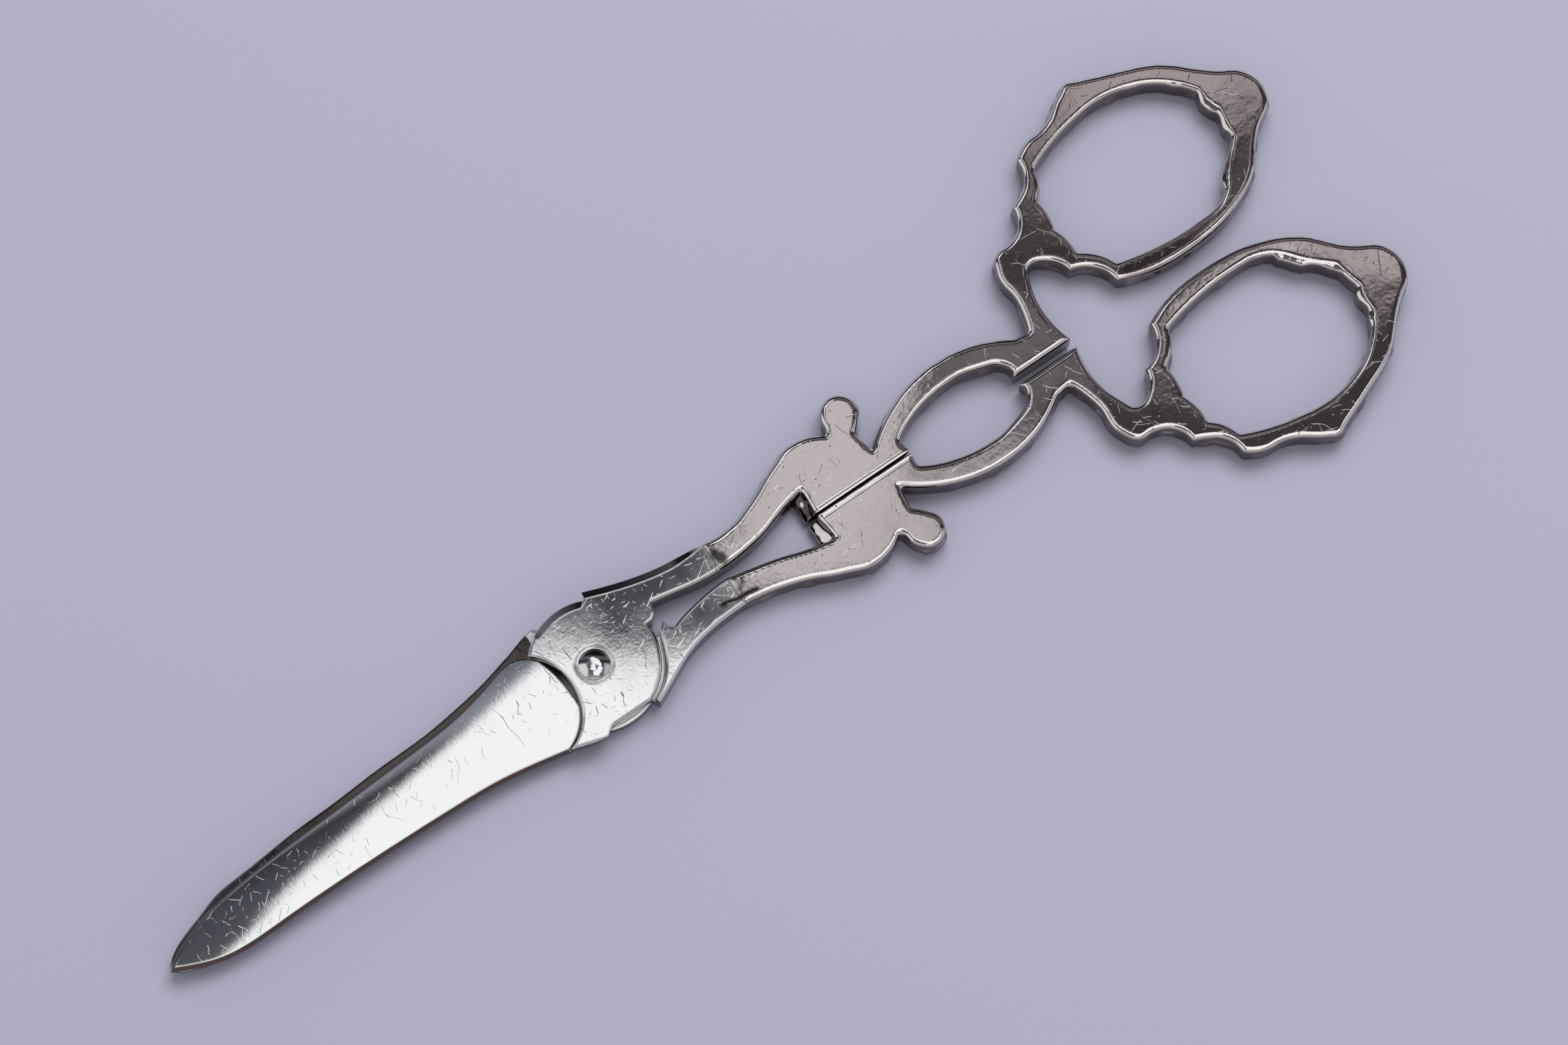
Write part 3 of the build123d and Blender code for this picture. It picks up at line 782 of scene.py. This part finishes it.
def findWalls(mesh, places, settings):
    # how far each point is from the wall nearest to it, and the way that wall faces
    normals = np.empty(len(places) * 3, np.float64)
    mesh.vertices.foreach_get("normal", normals)
    normals = normals.reshape(-1, 3)
    walls = np.nonzero(np.abs(places[:, 2] - settings["back"] / 2) < settings["voxel"])[0]
    tree = kdtree.KDTree(len(walls))
    for index in walls:
        tree.insert((places[index, 0], places[index, 1], 0.0), index)
    tree.balance()
    found = [tree.find((place[0], place[1], 0.0)) for place in places]
    fromWall = np.array([hit[2] for hit in found])
    outward = normals[[hit[1] for hit in found], :2]
    outward /= np.maximum(np.linalg.norm(outward, axis=1, keepdims=True), 1e-6)
    return fromWall, outward


def neighbourMean(values, first, second):
    # first and second are the two ends of every edge
    count = len(values)
    neighbours = np.bincount(first, minlength=count) + np.bincount(second, minlength=count)
    total = [np.bincount(first, column[second], count) + np.bincount(second, column[first], count)
             for column in values.T]
    return np.stack(total, axis=1) / neighbours[:, None]


def edgeFall(x, fromWall, outward, bulges, settings):
    # how far the back falls towards its edges
    bars = smoothstep(settings["plateEnd"], settings["barStart"], x)
    width = settings["plateCrown"] + bars * (settings["barCrown"] - settings["plateCrown"])
    fall = settings["crownFall"] * np.clip(1 - fromWall / width, 0.0, 1.0) ** 2
    farFacing = outward @ np.array(studio["farWay"][:2])
    least, wander = settings["slopeWander"]
    filed = smoothstep(*settings["slopeTurn"], farFacing) * (least + wander * bulges)
    fall += settings["slopeFall"] * np.clip(1 - fromWall / settings["slopeWidth"], 0.0, 1.0) * filed
    rubbed = smoothstep(*settings["nearTurn"], -farFacing)
    near = np.clip(1 - fromWall / settings["nearWidth"], 0.0, 1.0) ** settings["nearCurve"]
    return fall + settings["nearFall"] * near * rubbed


def wallSwell(x, y, level, hold, fromWall, outward, bulges, lumps, settings):
    # how far the relief pushes the walls out
    band = smoothstep(*settings["bulgeFoot"], level) * (1 - smoothstep(*settings["bulgeTop"], level))
    onWall = 1 - smoothstep(*settings["bulgeSkin"], fromWall)
    clear = smoothstep(*settings["meeting"], np.abs(y)) * hold
    least, gain = settings["bulgeGain"]
    swell = settings["bulge"] * band * onWall * clear * np.clip(least + gain * bulges, 0.0, 1.0)
    lumpy = smoothstep(*settings["lumpStart"], x) * smoothstep(*settings["lumpTurn"], -outward[:, 0])
    least, gain = settings["lumpGain"]
    return np.maximum(swell, settings["lump"] * lumpy * onWall * np.clip(least + gain * lumps, 0.0, 1.0))


def castHandle(node, body, side, material, settings):
    # side is 1 for the half above the middle line and -1 for the one below it
    piece, mesh, places = voxelCopy(node, node.replace("_handle", "HandleCasting"), settings["voxel"])
    ends = np.empty(len(mesh.edges) * 2, np.int64)
    mesh.edges.foreach_get("vertices", ends)
    first, second = ends.reshape(-1, 2).T
    fromWall, outward = findWalls(mesh, places, settings)
    x = places[:, 0].copy()
    y = places[:, 1].copy()
    bulges = np.array([noise.noise(Vector(place) / settings["bulgeSize"]) for place in places])
    lumps = np.array([noise.noise(Vector((place[0], place[1], 0.0)) / settings["lumpSize"])
                      for place in places])
    holdStart, holdEnd = settings["neckHold"]
    hold = smoothstep(settings["neck"] + holdStart, settings["neck"] + holdEnd, x)
    for _ in range(settings["roll"]):
        rolled = neighbourMean(places, first, second)
        places += settings["rollShare"] * hold[:, None] * (rolled - places)
    high = smoothstep(settings["crownFoot"], 1.0, places[:, 2] / settings["back"])
    places[:, 2] -= edgeFall(x, fromWall, outward, bulges, settings) * hold * high
    level = places[:, 2] / settings["back"]
    swell = wallSwell(x, y, level, hold, fromWall, outward, bulges, lumps, settings)
    push = outward * swell[:, None]
    share = settings["evenShare"]
    for _ in range(settings["evenOut"]):
        push = (1 - share) * push + share * neighbourMean(push, first, second)
    places[:, :2] += push
    edge, edgeStart, edgeEnd = settings["sharpEdge"]
    sharp = (np.abs(y) < edge) & (x > edgeStart) & (x < edgeEnd) & (level > settings["sharpFoot"])
    drop, dropWidth = settings["sharpDrop"]
    places[sharp, 2] = settings["back"] - drop * (1 - smoothstep(0.0, dropWidth, fromWall[sharp]))
    lipX, lipDepth, lipHalf = settings["lipWall"]
    lip = (x < lipX) & (x > lipX - lipDepth) & (np.abs(y) < lipHalf) & (fromWall < settings["lipSkin"])
    lip = lip * smoothstep(*settings["lipTurn"], -outward[:, 0])
    places[:, 0] -= settings["lipReach"] * lip * (1 - smoothstep(*settings["lipSlope"], places[:, 2]))
    carveFront(places, x / millimetre, side * y / millimetre, fromWall, hold, settings)
    finishMesh(mesh, places, material)
    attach(piece, body)
    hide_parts(node)
    print(node, "cast with", len(places), "points")


# The thumb half's blade: the far edge of its joint and arm has been filed to a wide, dark facet
facet = {
    "top": 3.55 * millimetre,
    # where the facet begins, has its full width, narrows again and ends
    "span": (-7.5 * millimetre, -2.0 * millimetre, 16.0 * millimetre, 19.6 * millimetre),
    "inward": 0.65 * millimetre,
    "rim": 0.75 * millimetre,  # how near the outline a point of the top is to count as its rim
    "outlineStep": 1.2 * millimetre,  # how far along the blade the outline is looked for
}


def forgeBlade(node, body, material, settings):
    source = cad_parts[node]
    piece = bpy.data.objects.new(node.replace("_blade", "BladeForging"), source.data.copy())
    bpy.context.scene.collection.objects.link(piece)
    places = readPlaces(piece.data)
    top = places[:, 2] > settings["top"]
    x = places[:, 0]
    start, full, narrow, end = settings["span"]
    share = smoothstep(start, full, x) * (1 - smoothstep(narrow, end, x))
    moved = 0
    for index in np.nonzero(top & (share > 0))[0]:
        near = np.abs(x - x[index]) < settings["outlineStep"]
        if places[index, 1] < places[near, 1].max() - settings["rim"]:
            continue
        places[index, 1] -= settings["inward"] * share[index]
        moved += 1
    finishMesh(piece.data, places, material)
    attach(piece, body)
    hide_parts(node)
    print(node, "forged,", moved, "rim points drawn in")


forgeBlade("thumb_blade", "thumb_half", forged, facet)
castHandle("thumb_handle", "thumb_half", 1, cast, casting)
castHandle("finger_handle", "finger_half", -1, cast, casting)
